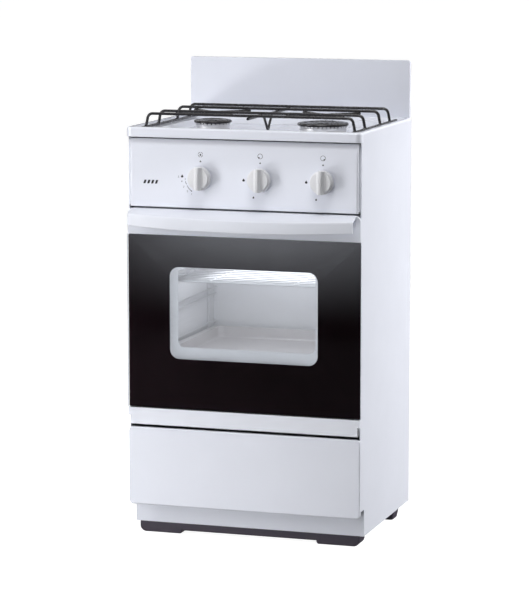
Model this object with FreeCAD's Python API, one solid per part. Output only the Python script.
import FreeCAD, Part
import math
import os

from FreeCAD import Vector

# Freestanding gas range, 50 cm wide and 85 cm to the hob, with two burners, a gas oven and a drawer.
# Millimetres. +Z is up, +X is the user's right and the user stands on the -Y side.
# The origin is under the middle of the whole range, on the floor.

# ---- driving dimensions -------------------------------------------------------------------------
HOB_WIDTH = 500.0        # overall width of the hob top
HOB_HEIGHT = 850.0       # floor to the hob's rim
SPLASH_TOP = 971.0       # floor to the top of the backsplash
SPLASH_HALF = 245.0      # half the backsplash's width
DEPTH = 456.0            # bow of the handle to the end of the gas inlet
SHEET = 1.5              # enamelled steel sheet
THIN = 1.2               # lighter inner sheet
RUN = 0.4                # gap between a moving part and what it runs on

KNOB_X = {"oven": -89.5, "left": 37.3, "right": 169.1}
KNOB_Z = 749.0
BURNER_X = {"left": -122.0, "right": 117.0}
BURNER_Y = -8.0
CAP_RADIUS = {"left": 39.5, "right": 53.0}
HOLE_RADIUS = {"left": 24.0, "right": 36.0}

# ---- planes worked out from them ----------------------------------------------------------------
FRONT = -DEPTH / 2                       # middle of the bowed handle
REAR = DEPTH / 2                         # end of the gas inlet stub
CASE_REAR = REAR - 16.0                  # outer face of the rear panel
CASE_FRONT = FRONT + 53.0                # front edges of the side panels
DOOR_FACE = FRONT + 45.0                 # outer face of the door glass
PANEL_FACE = DOOR_FACE + 1.0             # control panel
DRAWER_FACE = DOOR_FACE + 2.0
PLINTH_FACE = FRONT + 85.0
HOB_FRONT = FRONT + 41.0
SIDE_OUT = HOB_WIDTH / 2 - 3.0           # outer face of a side panel
SIDE_IN = SIDE_OUT - SHEET
FRAME_FACE = DOOR_FACE + 32.0            # front frame round the oven mouth
DOOR_BACK = DOOR_FACE + 25.0             # inner face of the door

SKID_TOP = 22.0
PLINTH_TOP = 78.0
BASE_Z = 60.0
DRAWER_Z = (65.0, 229.0)
DOOR_Z = (235.0, 684.0)
GLASS_Z = (270.0, 631.0)
PANEL_Z = (688.0, 826.5)
PANEL_LEAN_Z = 800.0
RIM_DEPTH = 20.0                         # how far the hob's skirt hangs down
DECK_Z = HOB_HEIGHT - 19.0
LEDGE_Z = HOB_HEIGHT - 7.0

CAVITY_X = 185.0
CAVITY_Y = (FRAME_FACE + SHEET, 180.0)
CAVITY_Z = (262.0, 600.0)
MOUTH_Z = 272.0                          # lower edge of the oven mouth
OVEN_FLOOR_Z = 297.5
OVEN_BURNER_Z = 280.0
RACK_Z = 531.0
TRAY_Z = 390.4                           # underside of the tray's rim
GUIDE_WIRE = 2.0                         # radius
RACK_ROD = 2.5
RACK_BARS = 11

HINGE_Y = DOOR_FACE + 13.0
HINGE_Z = DOOR_Z[0] + 13.0
HINGE_PIN = 3.0

MANIFOLD_Y = -100.0
MANIFOLD_R = 8.0
INLET_X = 216.0
INLET_R = 10.48                          # G 1/2 thread, 20.96 mm outside
INLET_LENGTH = 15.0
VALVE_FRONT = -150.0

WIRE = 3.0                               # radius of the grate's wire
GRATE_X = 222.5
GRATE_SPLAY = 5.5        # how far a leg leans out towards its foot
GRATE_TOP = 874.0                        # centre line of the cross wires
GRATE_WIRES_Y = (-138.0, -63.0, 52.0, 127.0)
GRATE_BAR_Y = (-173.0, 177.0)

X_AXIS = Vector(1, 0, 0)
Y_AXIS = Vector(0, 1, 0)
Z_AXIS = Vector(0, 0, 1)


# ---- shape helpers ------------------------------------------------------------------------------
def box(x, y, z):
    """A block from three (low, high) pairs."""
    return Part.makeBox(x[1] - x[0], y[1] - y[0], z[1] - z[0], Vector(x[0], y[0], z[0]))


def wide(half, y, z):
    """A block that is the same on both sides of the middle."""
    return box((-half, half), y, z)


def pair(shape):
    """The shape and its mirror image on the other side of the range."""
    return [shape, shape.mirror(Vector(0, 0, 0), X_AXIS)]


def both(shape):
    """Two mirrored solids as one shape."""
    return Part.makeCompound(pair(shape))


def rod(start, end, radius):
    """A round bar between two points."""
    line = end - start
    return Part.makeCylinder(radius, line.Length, start, line)


def rounded(first, second, radius, plane):
    """A rounded rectangle as a wire: first and second are (low, high), plane places (a, b)."""
    (a0, a1), (b0, b1) = first, second
    diagonal = radius * (1 - math.sqrt(0.5))
    edges = []
    corners = [(a1, b0, -1, 1), (a1, b1, -1, -1), (a0, b1, 1, -1), (a0, b0, 1, 1)]
    ends = []
    for index, (a, b, da, db) in enumerate(corners):
        along_a = plane(a + da * radius, b)
        along_b = plane(a, b + db * radius)
        middle = plane(a + da * diagonal, b + db * diagonal)
        start, end = (along_a, along_b) if index % 2 == 0 else (along_b, along_a)
        ends.append((start, middle, end))
    for index, (start, middle, end) in enumerate(ends):
        edges.append(Part.Arc(start, middle, end).toShape())
        following = ends[(index + 1) % len(ends)][0]
        edges.append(Part.makeLine(end, following))
    return Part.Wire(edges)


def upright(x, y, z, radius):
    """A block with rounded corners seen from above."""
    wire = rounded(x, y, radius, lambda a, b: Vector(a, b, z[0]))
    return Part.Face(wire).extrude(Vector(0, 0, z[1] - z[0]))


def facing(x, y, z, radius):
    """A block with rounded corners seen from the front."""
    wire = rounded(x, z, radius, lambda a, b: Vector(a, y[0], b))
    return Part.Face(wire).extrude(Vector(0, y[1] - y[0], 0))


def profile(points, x):
    """An outline in (y, z) pushed through from x low to x high."""
    corners = [Vector(x[0], y, z) for y, z in points]
    return Part.Face(Part.makePolygon(corners + corners[:1])).extrude(Vector(x[1] - x[0], 0, 0))


def turned(points, centre):
    """An outline in (radius, z) spun about an upright axis."""
    corners = [Vector(radius, 0, z) for radius, z in points]
    face = Part.Face(Part.makePolygon(corners + corners[:1]))
    solid = face.revolve(Vector(0, 0, 0), Z_AXIS, 360)
    solid.translate(Vector(centre[0], centre[1], 0))
    return solid


def bent_path(points, bend):
    """Straight runs joined by tangent arcs of one radius."""
    edges = []
    start = points[0]
    for before, corner, after in zip(points, points[1:], points[2:]):
        into = (corner - before).normalize()
        out = (after - corner).normalize()
        half = into.getAngle(out) / 2
        reach = bend * math.tan(half)
        first = corner - into * reach
        last = corner + out * reach
        inward = (out - into).normalize()
        middle = corner + inward * (bend / math.cos(half) - bend)
        edges.append(Part.makeLine(start, first))
        edges.append(Part.Arc(first, middle, last).toShape())
        start = last
    edges.append(Part.makeLine(start, points[-1]))
    return Part.Wire(edges)


def bent_rod(points, radius, bend):
    """A round bar or pipe that follows a bent path."""
    path = bent_path(points, bend)
    ring = Part.Wire(Part.makeCircle(radius, points[0], points[1] - points[0]))
    return path.makePipeShell([ring], True, False)


def hollow_pipe(points, radius, wall, bend):
    """A pipe with an open bore."""
    return bent_rod(points, radius, bend).cut(bent_rod(points, radius - wall, bend))


def edges_where(shape, test):
    """The edges whose middle and direction pass the test."""
    chosen = []
    for edge in shape.Edges:
        middle = edge.valueAt((edge.FirstParameter + edge.LastParameter) / 2)
        if test(edge, middle):
            chosen.append(edge)
    return chosen


def soften(shape, radius, test):
    """Round the edges that pass the test."""
    return shape.makeFillet(radius, edges_where(shape, test))


def fused(shapes):
    """One solid from shapes that touch or overlap."""
    return shapes[0].multiFuse(shapes[1:]).removeSplitter()


def near(value, target, slack=0.05):
    """Whether two numbers are the same to within a little."""
    return abs(value - target) < slack


# ---- casing -------------------------------------------------------------------------------------
SCREW_Z = (110.0, 330.0, 550.0, 770.0)
SCREW_X = SIDE_IN - 6.0
FLANGE_IN = SIDE_IN - 12.0
FLUE_HALF = 60.0
FLUE_Z = (570.0, 590.0)


def side_panel():
    """The right side: a sheet with flanges turned in at the top, foot, rear and behind the panel."""
    top = LEDGE_Z - SHEET
    under_rim = HOB_HEIGHT - RIM_DEPTH - 0.5
    step = CASE_REAR - 15
    outline = [
        (CASE_FRONT, PLINTH_TOP),
        (CASE_FRONT, top),
        (step, top),
        (step, under_rim),
        (CASE_REAR, under_rim),
        (CASE_REAR, SKID_TOP),
        (PLINTH_FACE, SKID_TOP),
        (PLINTH_FACE, PLINTH_TOP),
    ]
    sheet = profile(outline, (SIDE_IN, SIDE_OUT))
    behind = CASE_REAR - SHEET
    foot_y = (PLINTH_FACE + SHEET, behind - SHEET)
    top_flange = box((SIDE_IN - 17, SIDE_IN), (CASE_FRONT, step), (top - SHEET, top))
    foot_flange = box((SIDE_IN - 40, SIDE_IN), foot_y, (SKID_TOP, SKID_TOP + SHEET))
    rear_flange = box((FLANGE_IN, SIDE_IN), (behind - SHEET, behind), (BASE_Z, under_rim))
    panel_z = (PANEL_Z[0] + 3, PANEL_Z[1] - 3)
    panel_flange = box((FLANGE_IN, SIDE_IN), (CASE_FRONT, CASE_FRONT + SHEET), panel_z)
    holes = [rod(Vector(SCREW_X, CASE_REAR - 9, z), Vector(SCREW_X, CASE_REAR, z), 2) for z in SCREW_Z]
    flanges = [top_flange, foot_flange, rear_flange, panel_flange]
    return fused([sheet] + flanges).cut(Part.makeCompound(holes))


def rear_panel():
    """The back sheet, with flue slots, air slots, the gas inlet hole and screw holes."""
    y = (CASE_REAR - SHEET, CASE_REAR)
    sheet = wide(SIDE_IN, y, (BASE_Z, PANEL_Z[1] - 1))
    through = (y[0] - 1, y[1] + 1)
    cuts = []
    for step in range(3):
        z = FLUE_Z[0] + 3 + 6 * step
        cuts.append(facing((-52, 52), through, (z, z + 3.6), 1.7))
    for row in (120.0, 140.0, 160.0, 780.0, 800.0):
        for column in range(-3, 4):
            x = column * 52.0
            cuts.append(facing((x - 20, x + 20), through, (row, row + 5), 2.4))
    cuts.append(rod(Vector(INLET_X, through[0], KNOB_Z), Vector(INLET_X, through[1], KNOB_Z), 14))
    for z in SCREW_Z:
        cuts += pair(rod(Vector(SCREW_X, through[0], z), Vector(SCREW_X, through[1], z), 2))
    return sheet.cut(Part.makeCompound(cuts))


def casing_screws():
    """Pan-head screws that hold the rear panel to the side flanges."""
    screws = []
    for z in SCREW_Z:
        head = rod(Vector(SCREW_X, CASE_REAR, z), Vector(SCREW_X, CASE_REAR + 2.4, z), 4)
        head = soften(head, 1.2, lambda edge, middle: middle.y > CASE_REAR + 2.3)
        slot = box((SCREW_X - 3, SCREW_X + 3), (CASE_REAR + 1.4, CASE_REAR + 3), (z - 0.6, z + 0.6))
        shank = rod(Vector(SCREW_X, CASE_REAR - 8, z), Vector(SCREW_X, CASE_REAR, z), 1.9)
        screws += pair(head.cut(slot).fuse(shank).removeSplitter())
    return Part.makeCompound(screws)


def base_panel():
    """The bottom tray under the drawer, with skirts turned down at the sides."""
    y = (PLINTH_FACE + SHEET, CASE_REAR - 2 * SHEET)
    plate = wide(SIDE_IN, y, (BASE_Z, BASE_Z + SHEET))
    skirts = pair(box((SIDE_IN - SHEET, SIDE_IN), y, (BASE_Z - 20, BASE_Z)))
    return fused([plate] + skirts)


def plinth_panel():
    """The set-back white strip under the drawer."""
    front = wide(SIDE_IN, (PLINTH_FACE, PLINTH_FACE + SHEET), (SKID_TOP, PLINTH_TOP))
    flange = wide(SIDE_IN, (PLINTH_FACE + SHEET, PLINTH_FACE + 15), (PLINTH_TOP - SHEET, PLINTH_TOP))
    return fused([front, flange])


def front_skid():
    """The moulded foot bar, raised between its two feet."""
    y = (PLINTH_FACE - 3, PLINTH_FACE + 37)
    bar = wide(238, y, (0, SKID_TOP))
    arch = profile([(y[0] - 1, -1), (y[1] + 1, -1), (y[1] + 1, 7), (y[0] - 1, 7)], (-146, 146))
    bar = bar.cut(arch)
    bar = soften(bar, 13, lambda edge, middle: near(abs(middle.x), 238) and near(middle.z, 0))
    bar = soften(bar, 5, lambda edge, middle: near(abs(middle.x), 146) and near(middle.z, 0))
    return soften(bar, 2, lambda edge, middle: near(middle.y, y[0]) and middle.z < SKID_TOP - 1)


def rear_feet():
    """Two tapered rear feet under the side flanges."""
    top = rounded((206, 242), (104, 158), 6, lambda a, b: Vector(a, b, SKID_TOP))
    bottom = rounded((211, 238), (110, 152), 6, lambda a, b: Vector(a, b, 0))
    return both(Part.makeLoft([bottom, top], True))


# ---- hob ----------------------------------------------------------------------------------------
RIM = 10.0
WELL_Y = (HOB_FRONT + RIM, CASE_REAR - 14)
DECK_HALF = 205.0
DECK_Y = (-152.0, 182.0)
DISH_DEPTH = 1.5


def pressed_block(inset):
    """The space under the hob's pressed surface, pulled in all round by inset."""
    half = HOB_WIDTH / 2 - inset
    y = (HOB_FRONT + inset, CASE_REAR - inset)
    block = upright((-half, half), y, (HOB_HEIGHT - RIM_DEPTH, HOB_HEIGHT - inset), 14 - inset)
    top = HOB_HEIGHT - inset
    block = soften(block, 5 - inset, lambda edge, middle: near(middle.z, top))
    well = sunk((half - RIM + 2 * inset, WELL_Y), (LEDGE_Z - inset, top + 1), 12, 4, inset)
    deck = sunk((DECK_HALF + inset, DECK_Y), (DECK_Z - inset, LEDGE_Z + 1), 26, 8, inset)
    dishes = []
    for name, x in BURNER_X.items():
        outer = CAP_RADIUS[name] + 16 + inset
        low = DECK_Z - DISH_DEPTH - inset
        dish = Part.makeCone(outer - 6, outer, DISH_DEPTH + 1, Vector(x, BURNER_Y, low))
        mound = HOLE_RADIUS[name] - inset
        boss = Part.makeCone(mound + 12, mound + 6, 3, Vector(x, BURNER_Y, low))
        dishes.append(dish.cut(boss))
    return block.cut(Part.makeCompound([well])).cut(deck).cut(Part.makeCompound(dishes))


def sunk(size, z, corner, draft, inset):
    """A tapered well cut down into the hob: size is (half width, y range) at its foot."""
    half, y = size
    y = (y[0] - inset, y[1] + inset)
    rise = z[1] - z[0]
    grow = draft * rise / 8
    foot_y = (y[0] + grow, y[1] - grow)
    low = rounded((grow - half, half - grow), foot_y, corner, lambda a, b: Vector(a, b, z[0]))
    high = rounded((-half, half), y, corner + grow, lambda a, b: Vector(a, b, z[1]))
    return Part.makeLoft([low, high], True)


def hob_top():
    """The pressed hob sheet: rolled rim, side ledges, sunk deck and dished burner wells."""
    sheet = pressed_block(0).cut(pressed_block(SHEET))
    holes = []
    for name, x in BURNER_X.items():
        holes.append(Part.makeCylinder(HOLE_RADIUS[name], 40, Vector(x, BURNER_Y, HOB_HEIGHT - 35)))
    return sheet.cut(Part.makeCompound(holes))


def backsplash():
    """The raised back sheet with returns round its edges."""
    y = (CASE_REAR - 8, CASE_REAR)
    z = (HOB_HEIGHT, SPLASH_TOP)
    half = SPLASH_HALF
    outer = facing((-half, half), y, z, 4)
    square_foot = wide(half, y, (z[0], z[0] + 6))
    outer = outer.fuse(square_foot).removeSplitter()
    outer = soften(outer, 1.4, lambda edge, middle: near(middle.y, y[0]) and middle.z > z[0] + 1)
    inner = facing((THIN - half, half - THIN), (y[0] + THIN, y[1] + 1), (z[0] + THIN, z[1] - THIN), 3)
    return outer.cut(inner)


def hob_crossbar():
    """The angle that carries the middle of the hob."""
    front = BURNER_Y + 74
    foot = DECK_Z - 23
    web = wide(SIDE_IN - SHEET, (front, front + SHEET), (foot, DECK_Z - SHEET))
    shelf = wide(190, (front + SHEET, front + 16), (DECK_Z - 2 * SHEET, DECK_Z - SHEET))
    tabs = pair(box((SIDE_IN - SHEET, SIDE_IN), (front, front + 16), (foot, foot + 18)))
    return fused([web, shelf] + tabs)


def grate():
    """The pan support: side bars, four cross wires, a spine with a V leg, and a cross over each burner."""
    foot = LEDGE_Z + RUN + WIRE
    parts = []
    for side in (-1, 1):
        x = side * GRATE_X
        bar = rod(Vector(x, GRATE_BAR_Y[0], foot), Vector(x, GRATE_BAR_Y[1], foot), WIRE)
        parts.append(soften(bar, 1.4, lambda edge, middle: edge.Curve.TypeId == "Part::GeomCircle"))
    for y in GRATE_WIRES_Y:
        corners = [
            Vector(-GRATE_X, y, foot),
            Vector(GRATE_SPLAY - GRATE_X, y, GRATE_TOP),
            Vector(GRATE_X - GRATE_SPLAY, y, GRATE_TOP),
            Vector(GRATE_X, y, foot),
        ]
        parts.append(bent_rod(corners, WIRE - 0.15, 11))
    under = GRATE_TOP - 2 * WIRE + 0.6
    spine_y = (GRATE_WIRES_Y[0] - 10, GRATE_WIRES_Y[-1] + 10)
    parts.append(rod(Vector(0, spine_y[0], under), Vector(0, spine_y[1], under), WIRE))
    leg_y = (GRATE_WIRES_Y[1] + GRATE_WIRES_Y[2]) / 2 - 9
    leg_foot = DECK_Z + RUN + WIRE
    leg = [Vector(0, leg_y - 29, under), Vector(0, leg_y, leg_foot - 2), Vector(0, leg_y + 29, under)]
    parts.append(bent_rod(leg, WIRE - 0.4, 4))
    reach = 61.0
    middle_y = (GRATE_WIRES_Y[1] + GRATE_WIRES_Y[2]) / 2
    for x in BURNER_X.values():
        for slope, radius in ((-1, WIRE), (1, WIRE - 0.2)):
            start = Vector(x - reach, middle_y - slope * reach, under)
            end = Vector(x + reach, middle_y + slope * reach, under)
            parts.append(rod(start, end, radius))
    return fused(parts)


# ---- burners ------------------------------------------------------------------------------------
PORTS = {"left": 26, "right": 36}
CROWN_Z = DECK_Z + RUN
CAP_Z = 848.0            # underside of the caps
CUP_FOOT = 790.0


def burner_cup(name):
    """The cup under the deck that holds the injector and carries the crown."""
    x = BURNER_X[name]
    hole = HOLE_RADIUS[name]
    top = DECK_Z - SHEET
    outline = [
        (4, CUP_FOOT),
        (hole + 2, CUP_FOOT),
        (hole + 2, top - 2),
        (hole + 5, top - 2),
        (hole + 5, top),
        (hole, top),
        (hole, CUP_FOOT + 2),
        (4, CUP_FOOT + 2),
    ]
    return turned(outline, (x, BURNER_Y))


def crown(name):
    """The cast flame ring: spigot, floor and waisted wall with gas ports along its top."""
    x = BURNER_X[name]
    cap = CAP_RADIUS[name]
    hole = HOLE_RADIUS[name]
    outline = [
        (hole - 5, CROWN_Z - 10),
        (hole - 2, CROWN_Z - 10),
        (hole - 2, CROWN_Z),
        (cap - 2, CROWN_Z),
        (cap - 2.4, CROWN_Z + 2),
        (cap - 4.6, CROWN_Z + 8),
        (cap - 3, CAP_Z - 0.5),
        (cap - 14, CAP_Z - 0.5),
        (cap - 14, CROWN_Z + 3),
        (hole - 5, CROWN_Z + 3),
    ]
    ring = turned(outline, (x, BURNER_Y))
    slots = []
    for index in range(PORTS[name]):
        slot = box((cap - 15, cap), (-1.1, 1.1), (CAP_Z - 5, CAP_Z + 1))
        slot.rotate(Vector(0, 0, 0), Z_AXIS, 360 * index / PORTS[name])
        slot.translate(Vector(x, BURNER_Y, 0))
        slots.append(slot)
    return ring.cut(Part.makeCompound(slots))


def cap(name):
    """The enamelled cap with a raised ring, a dished middle and a locating lip below."""
    radius = CAP_RADIUS[name]
    outline = [
        (0, CAP_Z + 1.6),
        (radius - 18, CAP_Z + 1.6),
        (radius - 18, CAP_Z - 3),
        (radius - 14.6, CAP_Z - 3),
        (radius - 14.6, CAP_Z),
        (radius - 0.8, CAP_Z),
        (radius, CAP_Z + 0.8),
        (radius, CAP_Z + 3.2),
        (radius - 0.6, CAP_Z + 4.6),
        (radius - 2, CAP_Z + 5.4),
        (radius * 0.74, CAP_Z + 6.9),
        (radius * 0.68, CAP_Z + 7.2),
        (radius * 0.62, CAP_Z + 6.9),
        (radius * 0.5, CAP_Z + 5.2),
        (radius * 0.4, CAP_Z + 4.8),
        (0, CAP_Z + 4.6),
    ]
    return turned(outline, (BURNER_X[name], BURNER_Y))


# ---- gas train ----------------------------------------------------------------------------------
VALVE_TOP = KNOB_Z + 15.0
PIPE_Z = VALVE_TOP + 12.0
PIPE_Y = -120.0
PIPE_R = 4.0
INJECTOR_Z = CUP_FOOT - 6.0
PLUG_R = 7.0
SPINDLE_R = 3.0
COLLAR_Y = -160.5
KNOB_BACK = PANEL_FACE - 4.0
KNOB_R = 24.4
DISC_DEPTH = 15.0
GRIP_DEPTH = 8.0
GRIP_HALF = (8.5, 2.6)    # half the grip at its root and at its ridge


def gas_manifold():
    """The supply pipe: a front bar behind the valves, a run to the back and a threaded inlet."""
    points = [
        Vector(KNOB_X["oven"] - 26, MANIFOLD_Y, KNOB_Z),
        Vector(INLET_X, MANIFOLD_Y, KNOB_Z),
        Vector(INLET_X, CASE_REAR - 8, KNOB_Z),
    ]
    pipe = hollow_pipe(points, MANIFOLD_R, 1.5, 24)
    plug = rod(points[0], points[0] + X_AXIS * 4, MANIFOLD_R)
    shoulder_y = CASE_REAR - 12
    stub_y = REAR - INLET_LENGTH
    shoulder = rod(Vector(INLET_X, shoulder_y, KNOB_Z), Vector(INLET_X, stub_y, KNOB_Z), 12.5)
    stub = rod(Vector(INLET_X, stub_y, KNOB_Z), Vector(INLET_X, REAR, KNOB_Z), INLET_R)
    bore = rod(Vector(INLET_X, shoulder_y - 1, KNOB_Z), Vector(INLET_X, REAR + 1, KNOB_Z), MANIFOLD_R - 1.5)
    return fused([pipe, plug, shoulder.fuse(stub).cut(bore)])


def valve_body(name):
    """A brass tap body clamped round the manifold, bored for its plug."""
    x = KNOB_X[name]
    block = box((x - 13, x + 13), (VALVE_FRONT, MANIFOLD_Y + 4), (KNOB_Z - 15, VALVE_TOP))
    corner = Vector(13, 0, 15).Length
    block = soften(block, 3, lambda edge, middle: near(math.hypot(middle.x - x, middle.z - KNOB_Z), corner))
    bore = rod(Vector(x, VALVE_FRONT - 1, KNOB_Z), Vector(x, VALVE_FRONT + 36, KNOB_Z), PLUG_R + RUN)
    saddle = rod(Vector(x - 20, MANIFOLD_Y, KNOB_Z), Vector(x + 20, MANIFOLD_Y, KNOB_Z), MANIFOLD_R)
    down = name == "oven"
    port = Vector(x, PIPE_Y, KNOB_Z - 16) if down else Vector(x, PIPE_Y, KNOB_Z)
    outlet = rod(port, port + Z_AXIS * 16, PIPE_R - 1)
    return block.cut(Part.makeCompound([bore, saddle, outlet]))


def valve_plug(name):
    """The turning plug inside a tap, with a D socket for its spindle."""
    x = KNOB_X[name]
    plug = rod(Vector(x, VALVE_FRONT + RUN, KNOB_Z), Vector(x, VALVE_FRONT + 34, KNOB_Z), PLUG_R)
    socket = rod(Vector(x, VALVE_FRONT - 1, KNOB_Z), Vector(x, VALVE_FRONT + 16, KNOB_Z), SPINDLE_R + RUN)
    flat = box((x - 5, x + 5), (VALVE_FRONT - 1, VALVE_FRONT + 16), (KNOB_Z + 1.6 + RUN, KNOB_Z + 5))
    passage = rod(Vector(x, PIPE_Y, KNOB_Z - 8), Vector(x, PIPE_Y, KNOB_Z + 8), 2)
    return plug.cut(socket.cut(flat)).cut(passage)


def spindle(name):
    """The D spindle that joins a knob to its plug, with a collar for the spring."""
    x = KNOB_X[name]
    tip = KNOB_BACK - 12
    shaft = rod(Vector(x, tip, KNOB_Z), Vector(x, VALVE_FRONT + 11, KNOB_Z), SPINDLE_R)
    shaft = shaft.cut(box((x - 5, x + 5), (tip - 1, VALVE_FRONT + 12), (KNOB_Z + 1.6, KNOB_Z + 5)))
    collar = rod(Vector(x, COLLAR_Y, KNOB_Z), Vector(x, COLLAR_Y + 1.5, KNOB_Z), 6.5)
    return fused([shaft, collar])


def valve_springs():
    """The three springs that push the knobs back out, each as four rings joined by short posts."""
    springs = []
    start = COLLAR_Y + 2.2
    pitch = (VALVE_FRONT - start - 0.8) / 3
    for x in KNOB_X.values():
        rings = [Part.makeTorus(4.8, 0.5, Vector(x, start + pitch * k, KNOB_Z), Y_AXIS) for k in range(4)]
        posts = []
        for k in range(3):
            foot = Vector(x + 4.8 * (-1) ** k, start + pitch * k, KNOB_Z)
            posts.append(rod(foot, foot + Y_AXIS * pitch, 0.4))
        springs.append(fused(rings + posts))
    return Part.makeCompound(springs)


def knob(name):
    """A round control knob with a stepped rim and a straight raised grip across it."""
    x = KNOB_X[name]
    front = KNOB_BACK - DISC_DEPTH
    back = Vector(x, KNOB_BACK, KNOB_Z)
    skirt = Part.makeCone(KNOB_R, KNOB_R - 0.6, DISC_DEPTH - 4, back, -Y_AXIS)
    shoulder_y = KNOB_BACK - DISC_DEPTH + 4
    shoulder = Part.makeCone(KNOB_R - 0.6, KNOB_R - 3.4, 2.4, Vector(x, shoulder_y, KNOB_Z), Vector(0, -1, 0))
    face = rod(Vector(x, shoulder_y - 2.4, KNOB_Z), Vector(x, front, KNOB_Z), KNOB_R - 4.2)
    body = fused([skirt, shoulder, face])
    body = soften(body, 1.0, lambda edge, middle: near(middle.y, front, 0.2))
    ridge_y = front - GRIP_DEPTH
    corners = [
        Vector(x - GRIP_HALF[0], shoulder_y, KNOB_Z - 28),
        Vector(x - GRIP_HALF[0], front, KNOB_Z - 28),
        Vector(x - GRIP_HALF[1], ridge_y, KNOB_Z - 28),
        Vector(x + GRIP_HALF[1], ridge_y, KNOB_Z - 28),
        Vector(x + GRIP_HALF[0], front, KNOB_Z - 28),
        Vector(x + GRIP_HALF[0], shoulder_y, KNOB_Z - 28),
    ]
    grip = Part.Face(Part.makePolygon(corners + corners[:1])).extrude(Z_AXIS * 56)
    round_end = rod(Vector(x, ridge_y - 1, KNOB_Z), Vector(x, shoulder_y + 1, KNOB_Z), KNOB_R - 0.6)
    grip = grip.common(round_end)
    grip = soften(grip, 1.6, lambda edge, middle: near(middle.y, ridge_y, 0.2))
    body = fused([body, grip])
    socket = rod(Vector(x, KNOB_BACK + 1, KNOB_Z), Vector(x, KNOB_BACK - 12, KNOB_Z), SPINDLE_R)
    socket = socket.cut(box((x - 5, x + 5), (KNOB_BACK - 13, KNOB_BACK + 2), (KNOB_Z + 1.6, KNOB_Z + 5)))
    recess = rod(Vector(x, KNOB_BACK + 1, KNOB_Z), Vector(x, KNOB_BACK - 8, KNOB_Z), KNOB_R - 4)
    hub = rod(Vector(x, KNOB_BACK + 1, KNOB_Z), Vector(x, KNOB_BACK - 8, KNOB_Z), 7)
    return body.cut(recess.cut(hub)).cut(socket)


def burner_pipes():
    """The two pipes from the burner taps to the injectors."""
    pipes = []
    for name, x in BURNER_X.items():
        start_x = KNOB_X[name]
        points = [
            Vector(start_x, PIPE_Y, VALVE_TOP),
            Vector(start_x, PIPE_Y, PIPE_Z),
            Vector(start_x, PIPE_Y + 50, PIPE_Z),
            Vector(x, PIPE_Y + 50, PIPE_Z),
            Vector(x, BURNER_Y, PIPE_Z),
            Vector(x, BURNER_Y, INJECTOR_Z),
        ]
        pipes.append(hollow_pipe(points, PIPE_R, 1, 7.5))
    return Part.makeCompound(pipes)


def oven_gas_pipe():
    """The pipe from the thermostat round the back of the oven to its burner."""
    x = KNOB_X["oven"]
    back = CASE_REAR - 2 * SHEET - 4.2
    points = [
        Vector(x, PIPE_Y, KNOB_Z - 15),
        Vector(x, PIPE_Y, 700),
        Vector(x, back, 700),
        Vector(x, back, OVEN_BURNER_Z),
        Vector(-8, back, OVEN_BURNER_Z),
    ]
    return hollow_pipe(points, 3, 0.8, 12)


def injectors():
    """The brass jets of both burners and of the oven burner."""
    jets = []
    for x in BURNER_X.values():
        body = Part.makeCylinder(6, CUP_FOOT - INJECTOR_Z, Vector(x, BURNER_Y, INJECTOR_Z))
        nose = Part.makeCylinder(3.9, 8, Vector(x, BURNER_Y, CUP_FOOT))
        hole = Part.makeCylinder(0.8, 20, Vector(x, BURNER_Y, INJECTOR_Z - 1))
        jets.append(fused([body, nose]).cut(hole))
    back = CASE_REAR - 2 * SHEET - 4.2
    holder = box((-8, 8), (back - 4, back + 4), (OVEN_BURNER_Z - 6, OVEN_BURNER_Z + 6))
    nose = rod(Vector(0, back - 12, OVEN_BURNER_Z), Vector(0, back - 4, OVEN_BURNER_Z), 3.5)
    jets.append(fused([holder, nose]))
    return Part.makeCompound(jets)


# ---- oven ---------------------------------------------------------------------------------------
WRAP = 22.0
TAIL_R = 11.0
BULB = Vector(-108, 165, 588)


def long_edge(half):
    """A test for the edges that run from front to back, half a width from the middle."""
    return lambda edge, middle: near(abs(middle.x), half) and near(abs(edge.tangentAt(0).y), 1)


def oven_liner():
    """The enamelled cavity, open at the front."""
    outer_z = (CAVITY_Z[0] - SHEET, CAVITY_Z[1] + SHEET)
    outer = wide(CAVITY_X + SHEET, (CAVITY_Y[0], CAVITY_Y[1] + SHEET), outer_z)
    outer = soften(outer, 14 + SHEET, long_edge(CAVITY_X + SHEET))
    inner = wide(CAVITY_X, (CAVITY_Y[0] - 1, CAVITY_Y[1]), CAVITY_Z)
    inner = soften(inner, 14, long_edge(CAVITY_X))
    through = (CAVITY_Y[1] - 5, CAVITY_Y[1] + 5)
    tail = rod(Vector(0, through[0], OVEN_BURNER_Z), Vector(0, through[1], OVEN_BURNER_Z), TAIL_R + 1)
    flue = wide(FLUE_HALF - THIN, through, (FLUE_Z[0] + THIN, FLUE_Z[1] - THIN))
    capillary = Part.makeCylinder(2.5, 12, Vector(BULB.x, BULB.y, CAVITY_Z[1] - 4))
    return outer.cut(inner).cut(Part.makeCompound([tail, flue, capillary]))


def insulation_wrap():
    """The mineral wool blanket round the cavity."""
    y = (CAVITY_Y[0], CAVITY_Y[1] + SHEET + 18)
    outer = wide(CAVITY_X + SHEET + WRAP, y, (CAVITY_Z[0] - SHEET - WRAP, CAVITY_Z[1] + SHEET + WRAP))
    outer = soften(outer, 20, long_edge(CAVITY_X + SHEET + WRAP))
    core = wide(CAVITY_X + SHEET, (y[0] - 1, CAVITY_Y[1] + SHEET), (CAVITY_Z[0] - SHEET, CAVITY_Z[1] + SHEET))
    tail = rod(Vector(0, 150, OVEN_BURNER_Z), Vector(0, 260, OVEN_BURNER_Z), TAIL_R + 2)
    flue = wide(FLUE_HALF, (150, 260), FLUE_Z)
    capillary = Part.makeCylinder(2.5, 60, Vector(BULB.x, BULB.y, CAVITY_Z[1] - 4))
    return outer.cut(core).cut(Part.makeCompound([tail, flue, capillary]))


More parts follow.
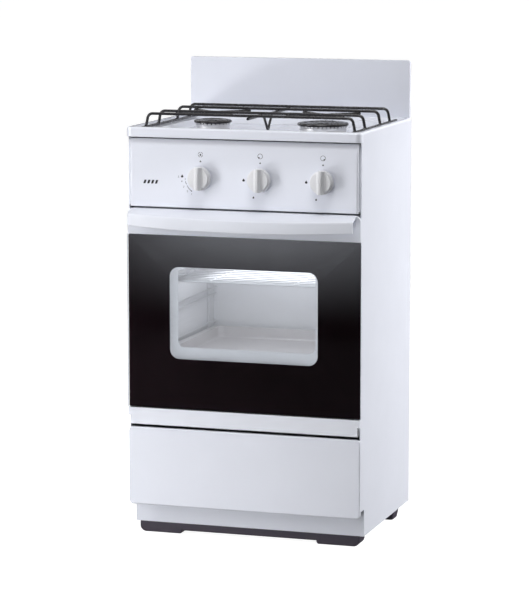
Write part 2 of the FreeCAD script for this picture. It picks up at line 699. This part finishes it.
def flue_duct():
    """The short duct that carries burnt gas out through the rear panel."""
    y = (CAVITY_Y[1] + SHEET, CASE_REAR - SHEET)
    outer = wide(FLUE_HALF, y, FLUE_Z)
    inner = wide(FLUE_HALF - THIN, (y[0] - 1, y[1] + 1), (FLUE_Z[0] + THIN, FLUE_Z[1] - THIN))
    return outer.cut(inner)


def front_frame():
    """The sheet round the oven mouth, with stiffening returns."""
    y = (FRAME_FACE, FRAME_FACE + SHEET)
    plate = wide(SIDE_IN, y, (232, 686))
    mouth = facing((-CAVITY_X, CAVITY_X), (y[0] - 1, y[1] + 1), (MOUTH_Z, CAVITY_Z[1]), 12)
    top = wide(SIDE_IN, (y[1], y[1] + 30), (686 - SHEET, 686))
    foot = wide(SIDE_IN, (y[1], y[1] + 20), (232, 232 + SHEET))
    return fused([plate, top, foot]).cut(mouth)


def door_seal():
    """The soft ring that closes the gap round the oven mouth."""
    y = (DOOR_BACK + RUN, FRAME_FACE)
    outer = facing((-CAVITY_X - 12, CAVITY_X + 12), y, (MOUTH_Z - 12, CAVITY_Z[1] + 12), 20)
    inner = facing((-CAVITY_X - 4, CAVITY_X + 4), (y[0] - 1, y[1] + 1), (MOUTH_Z - 4, CAVITY_Z[1] + 4), 14)
    ring = outer.cut(inner)
    return soften(ring, 2, lambda edge, middle: near(middle.y, y[0]))


def oven_floor():
    """The removable floor plate over the burner, turned down all round and slotted for the flame."""
    half = CAVITY_X - 16
    y = (CAVITY_Y[0] + 6, CAVITY_Y[1] - 2)
    outer = wide(half, y, (CAVITY_Z[0], OVEN_FLOOR_Z))
    outer = soften(outer, 5, long_edge(half))
    inner = wide(half - THIN, (y[0] + THIN, y[1] - THIN), (CAVITY_Z[0] - 1, OVEN_FLOOR_Z - THIN))
    cuts = [rod(Vector(0, y[1] - 5, OVEN_BURNER_Z), Vector(0, y[1] + 5, OVEN_BURNER_Z), TAIL_R + 2)]
    for index in range(6):
        centre = y[0] + 40 + index * 48
        slot_z = (OVEN_FLOOR_Z - 5, OVEN_FLOOR_Z + 1)
        slot = upright((half - 34, half - 24), (centre, centre + 30), slot_z, 4.9)
        cuts += pair(slot)
    return outer.cut(inner).cut(Part.makeCompound(cuts))


def oven_burner():
    """The straight tube burner under the oven floor, on two feet, with ports along both sides."""
    y = (CAVITY_Y[0] + 42, CAVITY_Y[1] + 14)
    tube = rod(Vector(0, y[0], OVEN_BURNER_Z), Vector(0, y[1], OVEN_BURNER_Z), TAIL_R)
    bore = rod(Vector(0, y[0] + 2, OVEN_BURNER_Z), Vector(0, y[1] + 1, OVEN_BURNER_Z), TAIL_R - 1.2)
    ports = []
    for index in range(18):
        centre = y[0] + 20 + index * 14
        ports.append(wide(20, (centre, centre + 6), (OVEN_BURNER_Z - 0.8, OVEN_BURNER_Z + 0.8)))
    feet = []
    for centre in (y[0] + 12, CAVITY_Y[1] - 25):
        feet.append(wide(12, (centre, centre + 2), (CAVITY_Z[0], OVEN_BURNER_Z - TAIL_R + 3)))
    tube = fused([tube] + feet)
    return tube.cut(bore).cut(Part.makeCompound(ports))


def thermostat_bulb():
    """The sensing bulb under the cavity roof and the thin capillary up to the thermostat."""
    bulb = rod(BULB + X_AXIS * 12, BULB + X_AXIS * 120, 3)
    capillary = bent_rod(
        [
            BULB + X_AXIS * 14,
            BULB,
            Vector(BULB.x, BULB.y, 715),
            Vector(BULB.x, VALVE_FRONT + 12, 715),
            Vector(BULB.x, VALVE_FRONT + 12, KNOB_Z - 4),
            Vector(KNOB_X["oven"] - 13, VALVE_FRONT + 12, KNOB_Z - 4),
        ],
        1,
        5,
    )
    return fused([bulb, capillary])


GUIDE_X = 177.0
GUIDE_Y = (CAVITY_Y[0] + 12, CAVITY_Y[1] - 8)
GUIDE_LEVELS = (TRAY_Z - RUN - GUIDE_WIRE, 462.0, RACK_Z - RACK_ROD - RUN - GUIDE_WIRE)


def rack_guides():
    """Wire ladders on both cavity walls: two uprights and a pair of runners for each shelf."""
    wires = []
    posts = (GUIDE_Y[0] + 35, GUIDE_Y[1] - 35)
    wall = CAVITY_X - GUIDE_WIRE
    for y in posts:
        foot = Vector(wall, y, GUIDE_LEVELS[0] - 20)
        wires.append(rod(foot, Vector(wall, y, GUIDE_LEVELS[-1] + 30), GUIDE_WIRE))
    for level in GUIDE_LEVELS:
        for z in (level, level + 13):
            points = [
                Vector(wall, GUIDE_Y[0], z),
                Vector(GUIDE_X, GUIDE_Y[0], z),
                Vector(GUIDE_X, GUIDE_Y[1], z),
                Vector(wall, GUIDE_Y[1], z),
            ]
            wires.append(bent_rod(points, GUIDE_WIRE, 3))
            for y in posts:
                wires.append(rod(Vector(GUIDE_X, y, z), Vector(wall, y, z), 1.6))
    return both(fused(wires))


def oven_rack():
    """The wire shelf: a rim rod, bars from side to side and two stiffeners front to back."""
    half = GUIDE_X - 1
    y = (CAVITY_Y[0] + 14, CAVITY_Y[1] - 14)
    corners = [
        Vector(0, y[0], RACK_Z),
        Vector(half, y[0], RACK_Z),
        Vector(half, y[1], RACK_Z),
        Vector(-half, y[1], RACK_Z),
        Vector(-half, y[0], RACK_Z),
        Vector(0, y[0], RACK_Z),
    ]
    wires = [bent_rod(corners, RACK_ROD, 14)]
    for index in range(1, RACK_BARS + 1):
        across = y[0] + (y[1] - y[0]) * index / (RACK_BARS + 1)
        wires.append(rod(Vector(-half, across, RACK_Z + 0.6), Vector(half, across, RACK_Z + 0.6), 1.5))
    for x in (-90, 90):
        wires.append(rod(Vector(x, y[0], RACK_Z - 0.8), Vector(x, y[1], RACK_Z - 0.8), 1.6))
    return fused(wires)


def baking_tray():
    """The enamelled tray, hung by its rim on the lowest runners."""
    rim_half = GUIDE_X + 1.5
    y = (CAVITY_Y[0] + 14, CAVITY_Y[1] - 14)
    rim = upright((-rim_half, rim_half), y, (TRAY_Z, TRAY_Z + THIN), 8)
    basin_x = (-rim_half + 12, rim_half - 12)
    basin_y = (y[0] + 10, y[1] - 10)
    outer = upright(basin_x, basin_y, (TRAY_Z - 24, TRAY_Z), 16)
    outer = soften(outer, 6, lambda edge, middle: near(middle.z, TRAY_Z - 24))
    inner = upright(
        (basin_x[0] + THIN, basin_x[1] - THIN),
        (basin_y[0] + THIN, basin_y[1] - THIN),
        (TRAY_Z - 24 + THIN, TRAY_Z + 5),
        16 - THIN,
    )
    inner = soften(inner, 5, lambda edge, middle: near(middle.z, TRAY_Z - 24 + THIN))
    return fused([rim, outer]).cut(inner)


# ---- front: control panel and door --------------------------------------------------------------
PANEL_HALF = 242.0


def panel_block(inset):
    """The control panel's outer form, pulled in by inset."""
    lean = 6.0
    low, high = PANEL_Z
    back = CASE_FRONT - 0.2
    upper_outline = [
        (PANEL_FACE + inset, PANEL_LEAN_Z - 4),
        (PANEL_FACE + inset, PANEL_LEAN_Z + 6),
        (PANEL_FACE + lean * 0.35 + inset, PANEL_LEAN_Z + 18),
        (PANEL_FACE + lean + inset, high - inset),
        (back + 20, high - inset),
        (back + 20, PANEL_LEAN_Z - 4),
    ]
    lower_outline = [
        (PANEL_FACE + inset, low + inset),
        (PANEL_FACE + inset, PANEL_LEAN_Z),
        (back + 20, PANEL_LEAN_Z),
        (back + 20, low + inset),
    ]
    half = PANEL_HALF - inset
    face = PANEL_FACE + inset
    upper = profile(upper_outline, (-half, half))
    lower = profile(lower_outline, (-half, half))
    block = fused([upper, lower])
    return soften(block, 4 - inset, lambda edge, middle: near(middle.y, face) and near(abs(middle.x), half))


def control_panel():
    """The pressed control panel: thin skin, returned top and foot, and three spindle holes."""
    skin = panel_block(0).cut(panel_block(SHEET))
    behind = CASE_FRONT - 0.2
    skin = skin.cut(box((-HOB_WIDTH, HOB_WIDTH), (behind, 0), (0, HOB_HEIGHT + 50)))
    top_z = (PANEL_Z[1] - SHEET, PANEL_Z[1])
    foot_z = (PANEL_Z[0], PANEL_Z[0] + SHEET)
    top = wide(SIDE_IN - 2, (behind, behind + 18), top_z)
    foot = wide(SIDE_IN - 6, (behind, behind + 20), foot_z)
    holes = []
    for x in KNOB_X.values():
        holes.append(rod(Vector(x, PANEL_FACE - 1, KNOB_Z), Vector(x, PANEL_FACE + 4, KNOB_Z), 5.5))
    return fused([skin, top, foot]).cut(Part.makeCompound(holes))


GLASS_BACK = DOOR_FACE + 4.0
PRINT_BACK = GLASS_BACK + 0.4
WINDOW_X = 158.0
WINDOW_Z = (375.0, 565.0)
INNER_WINDOW_X = 147.0   # the opening in the door's inner pan
INNER_WINDOW_Z = (396.0, 571.0)
LINER_HALF = 230.0
TRIM_FOOT = 640.0


def door_glass():
    """The outer pane, the full width of the front."""
    pane = facing((-249, 249), (DOOR_FACE, GLASS_BACK), GLASS_Z, 2)
    return soften(pane, 0.8, lambda edge, middle: near(middle.y, DOOR_FACE))


def glass_print():
    """The fired black print on the back of the pane, clear at the window."""
    layer = facing((-247.5, 247.5), (GLASS_BACK, PRINT_BACK), (GLASS_Z[0] + 1.5, GLASS_Z[1] - 1.5), 2)
    window = facing((-WINDOW_X, WINDOW_X), (GLASS_BACK - 1, PRINT_BACK + 1), WINDOW_Z, 20)
    return layer.cut(window)


def door_top_trim():
    """The white top strip of the door, closed behind to carry the handle."""
    front = facing((-248, 248), (DOOR_FACE, PRINT_BACK), (GLASS_Z[1], DOOR_Z[1]), 12)
    square = wide(248, (DOOR_FACE, PRINT_BACK), (GLASS_Z[1], GLASS_Z[1] + 20))
    front = front.fuse(square).removeSplitter()
    front = soften(front, 2, lambda edge, middle: near(middle.y, DOOR_FACE) and middle.z > GLASS_Z[1] + 1)
    rear = wide(240, (PRINT_BACK, DOOR_BACK), (TRIM_FOOT, DOOR_Z[1]))
    rear = soften(rear, 4, lambda edge, middle: near(abs(middle.x), 240) and near(middle.z, DOOR_Z[1]))
    pocket = wide(237, (PRINT_BACK, DOOR_BACK - 3), (TRIM_FOOT - 1, DOOR_Z[1] - 3))
    return fused([front, rear.cut(pocket)])


def door_bottom_trim():
    """The white strip under the glass: a full-width lip, then a narrower face with a return."""
    lip = facing((-248, 248), (DOOR_FACE, PRINT_BACK), (GLASS_Z[0] - 16, GLASS_Z[0]), 1)
    face = wide(242.5, (DOOR_FACE, DOOR_FACE + 2.4), (DOOR_Z[0], GLASS_Z[0] - 4))
    face = soften(face, 1.6, lambda edge, middle: near(middle.y, DOOR_FACE) and near(middle.z, DOOR_Z[0]))
    shelf = wide(229, (DOOR_FACE + 2.4, DOOR_BACK - 4), (DOOR_Z[0], DOOR_Z[0] + SHEET))
    return fused([lip, face, shelf])


def door_liner():
    """The inner door pan, with an opening for the inner pane."""
    y = (PRINT_BACK, DOOR_BACK)
    z = (DOOR_Z[0] + 4, TRIM_FOOT)
    outer = wide(LINER_HALF, y, z)
    outer = soften(outer, 3, lambda edge, middle: near(middle.y, DOOR_BACK) and middle.z < TRIM_FOOT - 1)
    inner = wide(LINER_HALF - SHEET, (y[0] - 1, y[1] - SHEET), (z[0] + SHEET, z[1] - SHEET))
    window = facing((-INNER_WINDOW_X, INNER_WINDOW_X), (y[0], y[1] + 1), INNER_WINDOW_Z, 14)
    return outer.cut(inner).cut(window)


def door_inner_glass():
    """The inner pane behind the liner's opening."""
    y = DOOR_BACK - SHEET
    return facing((-WINDOW_X - 17, WINDOW_X + 17), (y - 4, y), (WINDOW_Z[0] - 20, WINDOW_Z[1] + 20), 3)


HANDLE_HALF = 238.0
HANDLE_END = 27.0        # how far the ends stand off the door
HANDLE_BOW = 45.0        # how far the middle stands off the door
HANDLE_Z = (645.0, 683.0)
HANDLE_SLOPE = 0.3        # fall of the top from the door to the front
FOOT_RISE = 6.0           # how much higher the lower edge is at the ends
HANDLE_WALL = 3.5


def handle_block(inset):
    """The handle's form: bowed front, top that slopes up to the door, lower edge arched at the ends."""
    sagitta = HANDLE_BOW - HANDLE_END
    radius = (HANDLE_HALF ** 2 + sagitta ** 2) / (2 * sagitta)
    centre = Vector(0, FRONT + radius, 0)
    bow = Part.makeCylinder(radius - inset, 1000, centre)
    foot_radius = (HANDLE_HALF ** 2 + FOOT_RISE ** 2) / (2 * FOOT_RISE)
    foot_start = Vector(0, FRONT - 2, HANDLE_Z[0] + foot_radius)
    foot = Part.makeCylinder(foot_radius + inset, 100, foot_start, Y_AXIS)
    top = HANDLE_Z[1] - inset
    outline = [
        (FRONT - 1, HANDLE_Z[0] - 2 * inset - 1),
        (FRONT - 1, top - HANDLE_SLOPE * (HANDLE_BOW + 1)),
        (DOOR_FACE, top),
        (DOOR_FACE, HANDLE_Z[0] - 2 * inset - 1),
    ]
    half = HANDLE_HALF + inset
    return profile(outline, (-half, half)).common(bow).common(foot)


def door_handle():
    """The bowed pull: front wall and sloping top, open below for the fingers and at both ends."""
    outer = handle_block(0)
    ridge = HANDLE_Z[0] + 18
    long_front = lambda edge, middle: middle.y < DOOR_FACE - 15 and edge.Length > 200
    outer = soften(outer, 3.4, lambda edge, middle: middle.z > ridge and long_front(edge, middle))
    shell = outer.cut(handle_block(HANDLE_WALL))
    back_rib = wide(HANDLE_HALF - 4, (DOOR_FACE - 3, DOOR_FACE), (HANDLE_Z[1] - 10, HANDLE_Z[1] - 2))
    return fused([shell, back_rib])


def door_fasteners():
    """Screws that hold the liner, seen when the door is open, and those into the handle."""
    screws = []
    for x in (80.0, 216.0):
        for z in (250.0, 622.0):
            head = rod(Vector(x, DOOR_BACK, z), Vector(x, DOOR_BACK + 1.2, z), 3.5)
            screws += pair(soften(head, 0.6, lambda edge, middle: near(middle.y, DOOR_BACK + 1.2)))
    for x in (60.0, 210.0):
        z = HANDLE_Z[1] - 6
        screws += pair(rod(Vector(x, PRINT_BACK, z), Vector(x, PRINT_BACK + 2, z), 3))
    return Part.makeCompound(screws)


def hinge_brackets():
    """Plates on the side panels with the two hinge pins."""
    plate = box((SIDE_IN - 2, SIDE_IN), (CASE_FRONT, FRAME_FACE), (HINGE_Z - 10, HINGE_Z + 14))
    pin = rod(Vector(232, HINGE_Y, HINGE_Z), Vector(SIDE_IN - 2, HINGE_Y, HINGE_Z), HINGE_PIN)
    return both(fused([plate, pin]))


def hinge_arms():
    """The door's hinge arms, which turn on the pins."""
    plate = box((235.5, 238.5), (DOOR_FACE + 5, DOOR_BACK - 3), (HINGE_Z - 8, HINGE_Z + 70))
    hole = rod(Vector(230, HINGE_Y, HINGE_Z), Vector(245, HINGE_Y, HINGE_Z), HINGE_PIN + RUN)
    foot = box((LINER_HALF, 235.5), (DOOR_FACE + 5, DOOR_BACK - 5), (HINGE_Z + 24, HINGE_Z + 66))
    return both(fused([plate.cut(hole), foot]))


# ---- drawer -------------------------------------------------------------------------------------
DRAWER_HALF = 228.0
DRAWER_BOX_Y = (DRAWER_FACE + 5, 130.0)
DRAWER_BOX_Z = (84.0, 205.0)
LIP_Z = 120.4
RUNNER_Y = (FRAME_FACE + 2, 200.0)


def drawer_front():
    """The drawer's pressed front panel."""
    y = (DRAWER_FACE, DRAWER_FACE + 5)
    outer = facing((-249, 249), y, DRAWER_Z, 9)
    outer = soften(outer, 3.5, lambda edge, middle: near(middle.y, y[0]))
    inner = facing(
        (-249 + SHEET, 249 - SHEET),
        (y[0] + SHEET, y[1] + 1),
        (DRAWER_Z[0] + SHEET, DRAWER_Z[1] - SHEET),
        9 - SHEET,
    )
    inner = soften(inner, 2, lambda edge, middle: near(middle.y, y[0] + SHEET))
    return outer.cut(inner)


def drawer_box():
    """The drawer's sheet box with a front plate and side lips that slide on the runners."""
    plate_z = (DRAWER_Z[0] + SHEET, DRAWER_Z[1] - SHEET)
    plate = facing((-249 + SHEET, 249 - SHEET), (DRAWER_BOX_Y[0] - THIN, DRAWER_BOX_Y[0]), plate_z, 9 - SHEET)
    outer = wide(DRAWER_HALF, DRAWER_BOX_Y, DRAWER_BOX_Z)
    inner = wide(
        DRAWER_HALF - THIN,
        (DRAWER_BOX_Y[0], DRAWER_BOX_Y[1] - THIN),
        (DRAWER_BOX_Z[0] + THIN, DRAWER_BOX_Z[1] + 1),
    )
    lips = pair(box((DRAWER_HALF, 243), (RUNNER_Y[0], DRAWER_BOX_Y[1]), (LIP_Z, LIP_Z + THIN)))
    return fused([plate, outer.cut(inner)] + lips)


def drawer_runners():
    """The channels on the side panels that the drawer slides in."""
    back = box((SIDE_IN - SHEET, SIDE_IN), RUNNER_Y, (LIP_Z - 14, LIP_Z + 14))
    low = box((DRAWER_HALF + 2, SIDE_IN - SHEET), RUNNER_Y, (LIP_Z - RUN - SHEET, LIP_Z - RUN))
    high = box((DRAWER_HALF + 8, SIDE_IN - SHEET), RUNNER_Y, (LIP_Z + THIN + 1, LIP_Z + THIN + 1 + SHEET))
    return both(fused([back, low, high]))


# ---- write one file for each node ---------------------------------------------------------------
def all_parts():
    """Every node and its shape."""
    right = side_panel()
    left = pair(right)[1]
    nodes = {
        "side_panel_left": left,
        "side_panel_right": right,
        "rear_panel": rear_panel(),
        "base_panel": base_panel(),
        "plinth_panel": plinth_panel(),
        "front_skid": front_skid(),
        "rear_feet": rear_feet(),
        "hob_top": hob_top(),
        "backsplash": backsplash(),
        "control_panel": control_panel(),
        "front_frame": front_frame(),
        "hob_crossbar": hob_crossbar(),
        "casing_screws": casing_screws(),
        "oven_liner": oven_liner(),
        "oven_floor": oven_floor(),
        "rack_guides": rack_guides(),
        "oven_rack": oven_rack(),
        "baking_tray": baking_tray(),
        "insulation_wrap": insulation_wrap(),
        "flue_duct": flue_duct(),
        "door_seal": door_seal(),
        "gas_manifold": gas_manifold(),
        "valve_springs": valve_springs(),
        "burner_pipes": burner_pipes(),
        "oven_gas_pipe": oven_gas_pipe(),
        "burner_cups": Part.makeCompound([burner_cup(name) for name in BURNER_X]),
        "injectors": injectors(),
        "oven_burner": oven_burner(),
        "thermostat_bulb": thermostat_bulb(),
        "grate": grate(),
        "door_glass": door_glass(),
        "glass_print": glass_print(),
        "door_top_trim": door_top_trim(),
        "door_bottom_trim": door_bottom_trim(),
        "door_liner": door_liner(),
        "door_inner_glass": door_inner_glass(),
        "door_handle": door_handle(),
        "door_fasteners": door_fasteners(),
        "hinge_arms": hinge_arms(),
        "hinge_brackets": hinge_brackets(),
        "drawer_front": drawer_front(),
        "drawer_box": drawer_box(),
        "drawer_runners": drawer_runners(),
    }
    body_names = {"oven": "oven_thermostat_body", "left": "valve_body_left", "right": "valve_body_right"}
    for name, body_name in body_names.items():
        nodes[body_name] = valve_body(name)
        nodes["valve_plug_" + name] = valve_plug(name)
        nodes["spindle_" + name] = spindle(name)
        nodes["knob_" + name] = knob(name)
    for name in BURNER_X:
        nodes["burner_crown_" + name] = crown(name)
        nodes["burner_cap_" + name] = cap(name)
    return nodes


def main():
    """Write every node to parts and say what was written."""
    os.makedirs("parts", exist_ok=True)
    whole = FreeCAD.BoundBox()
    for name, shape in all_parts().items():
        shape.exportStep(os.path.join("parts", name + ".step"))
        solids = len(shape.Solids)
        state = "" if shape.isValid() and solids else "  NOT VALID"
        print(f"{name:24s} {solids:3d} solid(s) {shape.Volume / 1000:10.2f} cm3{state}")
        whole.add(shape.BoundBox)
    print("whole range", whole)


main()
